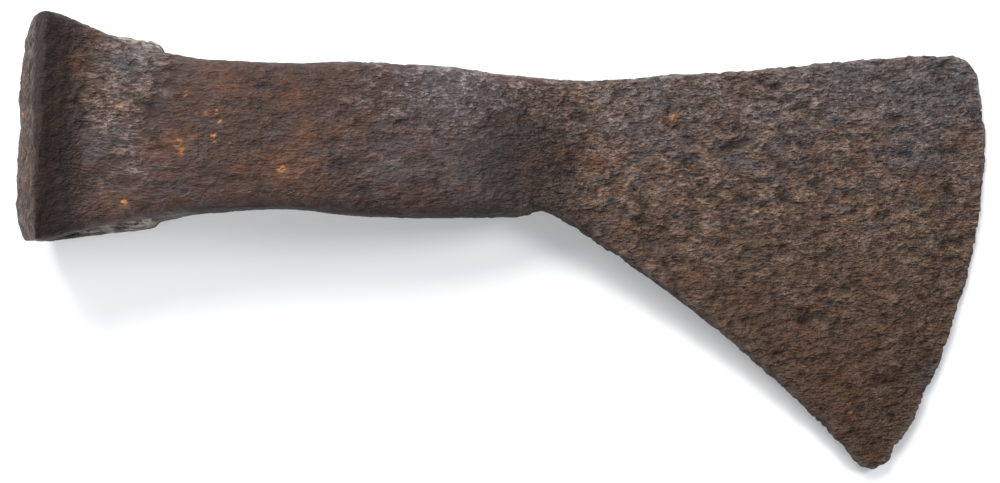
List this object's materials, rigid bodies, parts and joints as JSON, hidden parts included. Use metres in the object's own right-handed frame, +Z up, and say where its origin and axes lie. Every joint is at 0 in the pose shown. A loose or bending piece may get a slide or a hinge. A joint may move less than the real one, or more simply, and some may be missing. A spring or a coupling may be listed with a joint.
{
  "type": "iron axe head",
  "caption": "Forged iron bearded axe head with a flared, lipped poll, a wrapped oblong haft eye, a stout neck and a broad curved blade, rusted and pitted, lying on its side.",
  "frame": {"origin": "on the surface that the head lies on, under the middle of its bounding box", "axes": "+X from the poll towards the cutting edge, +Y from the beard towards the heel side, along the eye, +Z up, away from the surface that the head lies on"},
  "size_m": [0.194, 0.0902, 0.0348],
  "materials": {
    "rusted_iron": "dark brown corroded wrought iron, pitted and scaly, with orange rust spots and grey worn arrises"
  },
  "bodies": {
    "root": {"axe_head": "rusted_iron"}
  },
  "joints": []
}
